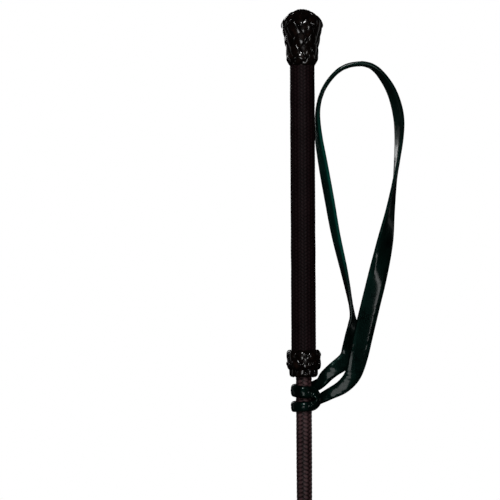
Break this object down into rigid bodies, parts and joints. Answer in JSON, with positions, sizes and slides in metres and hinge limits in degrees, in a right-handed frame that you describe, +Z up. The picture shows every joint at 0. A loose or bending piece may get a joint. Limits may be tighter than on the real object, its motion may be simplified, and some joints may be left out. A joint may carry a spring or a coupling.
{
  "type": "riding crop",
  "caption": "Riding crop with a plaited butt knob, braided grip and tapering whippy shaft, hitched leather wrist loop and a folded, stitched leather flap.",
  "frame": {"origin": "middle of the grip, on the shaft's axis, where a hand holds it", "axes": "+Z up the shaft towards the butt knob; +X towards the wrist loop; the flap's faces look along Y"},
  "size_m": [0.0702, 0.024, 0.7],
  "materials": {
    "glass_fibre": "pultruded glass-fibre rod, satin",
    "former_wood": "turned wood, unfinished",
    "binding_thread": "waxed binding thread",
    "shaft_thread": "waxed thread, herring-bone braid",
    "grip_thread": "waxed thread, fine tight braid",
    "plait_leather": "glossy plaited leather",
    "sleeve_leather": "polished leather sleeve",
    "flap_leather": "smooth bridle leather, semi-gloss",
    "stitch_thread": "light grey linen thread",
    "strap_leather": "glossy creased leather"
  },
  "bodies": {
    "handle": {"core_rod_handle": "glass_fibre", "shaft_braid_handle": "shaft_thread", "grip_former": "former_wood", "grip_braid": "grip_thread", "grip_whipping_upper": "binding_thread", "grip_whipping_lower": "binding_thread", "knob_former": "former_wood", "knob_plait": "plait_leather", "collar_former": "binding_thread", "collar_plait": "plait_leather"},
    "shaft_upper_flex": {"core_rod_upper_flex": "glass_fibre", "shaft_braid_upper_flex": "shaft_thread"},
    "shaft_lower_flex": {"core_rod_lower_flex": "glass_fibre", "shaft_braid_lower_flex": "shaft_thread"},
    "shaft_tip": {"core_rod_tip": "glass_fibre", "shaft_braid_tip": "shaft_thread", "tip_sleeve": "sleeve_leather", "tip_whipping": "binding_thread", "neck_wrap": "flap_leather", "flap_layer_back": "flap_leather", "flap_layer_front": "flap_leather", "flap_stitches": "stitch_thread"},
    "flap": {"flap_tongue": "flap_leather"},
    "strap_hitch": {"strap_upper_turn": "strap_leather", "strap_lower_turn": "strap_leather", "strap_bight": "strap_leather", "strap_inner_stub": "strap_leather", "strap_outer_stub": "strap_leather"},
    "wrist_loop": {"strap_inner_leg": "strap_leather", "strap_outer_leg": "strap_leather"}
  },
  "joints": [
    {"name": "shaft_flex_upper", "type": "hinge", "parent": "handle", "child": "shaft_upper_flex", "pos_m": [0, 0, -0.25], "axis": [1, 0, 0], "range_deg": [-6, 6], "stiffness_Nm_per_rad": 8},
    {"name": "shaft_flex_middle", "type": "hinge", "parent": "shaft_upper_flex", "child": "shaft_lower_flex", "pos_m": [0, 0, -0.32], "axis": [1, 0, 0], "range_deg": [-10, 10], "stiffness_Nm_per_rad": 2},
    {"name": "shaft_flex_lower", "type": "hinge", "parent": "shaft_lower_flex", "child": "shaft_tip", "pos_m": [0, 0, -0.39], "axis": [1, 0, 0], "range_deg": [-12, 12], "stiffness_Nm_per_rad": 0.9},
    {"name": "flap_bend", "type": "hinge", "parent": "shaft_tip", "child": "flap", "pos_m": [0, 0, -0.55], "axis": [1, 0, 0], "range_deg": [-60, 60], "stiffness_Nm_per_rad": 0.03},
    {"name": "hitch_swivel", "type": "hinge", "parent": "handle", "child": "strap_hitch", "pos_m": [0, 0, -0.109], "axis": [0, 0, 1], "continuous": true},
    {"name": "loop_flop", "type": "hinge", "parent": "strap_hitch", "child": "wrist_loop", "pos_m": [0.0211, 0, -0.0981], "axis": [-0.5736, 0, 0.8192], "range_deg": [-80, 80], "stiffness_Nm_per_rad": 0.05}
  ],
  "couplings": [
    {"joint": "shaft_flex_middle", "follows": "shaft_flex_upper", "ratio": 1.6667},
    {"joint": "shaft_flex_lower", "follows": "shaft_flex_upper", "ratio": 2}
  ]
}
